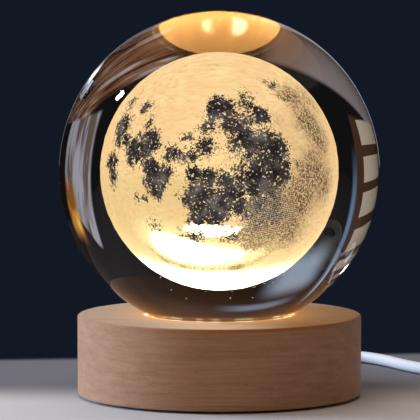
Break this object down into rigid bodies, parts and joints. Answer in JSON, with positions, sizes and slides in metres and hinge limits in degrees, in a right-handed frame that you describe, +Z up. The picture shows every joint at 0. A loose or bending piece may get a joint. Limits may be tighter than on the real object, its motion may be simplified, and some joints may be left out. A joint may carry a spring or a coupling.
{
  "type": "crystal ball moon lamp",
  "caption": "Table night lamp: a clear glass ball with a moon engraved inside, standing in the dished seat of a round wooden light base, with a switched cord and plug.",
  "frame": {"origin": "on the table, under the centre of the round base, at the underside of its pad", "axes": "+Z up through the ball's centre; the cord leaves the base towards +Y; the pictured side faces -Y"},
  "size_m": [0.1604, 0.1246, 0.0964],
  "materials": {
    "crystal_glass": "clear optical glass, polished",
    "moon_engraving": "fine white cracks in the glass, lit warm from below",
    "turned_beech": "turned beech with fine grain and a thin satin oil",
    "pad_foam": "black closed-cell foam",
    "cover_plastic": "black moulded plastic",
    "screw_steel": "zinc-plated steel",
    "board_white": "white solder mask",
    "led_ceramic": "white moulded body",
    "led_phosphor": "yellow phosphor, lit warm white",
    "resistor_black": "black chip with tinned ends",
    "lead_red": "red insulation",
    "lead_black": "black insulation",
    "solder_tin": "bright solder",
    "cord_white": "white soft vinyl",
    "grommet_white": "white soft vinyl",
    "tie_nylon": "natural nylon",
    "switch_white": "white moulded shell, fine satin texture",
    "rocker_white": "white moulded rocker, gloss",
    "terminal_brass": "stamped brass",
    "strap_fabric": "woven hook-and-loop strap",
    "plug_white": "white overmoulding",
    "plug_steel": "nickel-plated folded steel",
    "tongue_plastic": "white insulator",
    "contact_gilt": "gilt contact strips"
  },
  "bodies": {
    "base": {"wood_base": "turned_beech", "anti_slip_pad": "pad_foam", "bottom_cover": "cover_plastic", "cover_screws": "screw_steel", "led_board": "board_white", "led_packages": "led_ceramic", "led_windows": "led_phosphor", "resistors": "resistor_black", "board_screws": "screw_steel", "red_lead": "lead_red", "black_lead": "lead_black", "solder_joints": "solder_tin", "cord_sheath": "cord_white", "cord_grommet": "grommet_white", "cable_tie": "tie_nylon", "cord_to_switch": "cord_white", "switch_lower_shell": "switch_white", "switch_upper_shell": "switch_white", "switch_terminals": "terminal_brass", "switch_screws": "screw_steel", "cord_to_coil": "cord_white", "cord_coil": "cord_white", "coil_strap": "strap_fabric", "cord_tail": "cord_white", "plug_grip": "plug_white", "plug_shell": "plug_steel", "plug_tongue": "tongue_plastic", "plug_contacts": "contact_gilt"},
    "ball": {"crystal_ball": "crystal_glass", "engraved_moon": "moon_engraving"},
    "rocker": {"switch_rocker": "rocker_white"}
  },
  "joints": [
    {"name": "ball_lift", "type": "slide", "parent": "base", "child": "ball", "axis": [0, 0, 1], "range_m": [0, 0.06]},
    {"name": "rocker_tilt", "type": "hinge", "parent": "base", "child": "rocker", "pos_m": [0.064, -0.003, 0.0084], "axis": [1, 0, 0], "range_deg": [0, 20]}
  ]
}
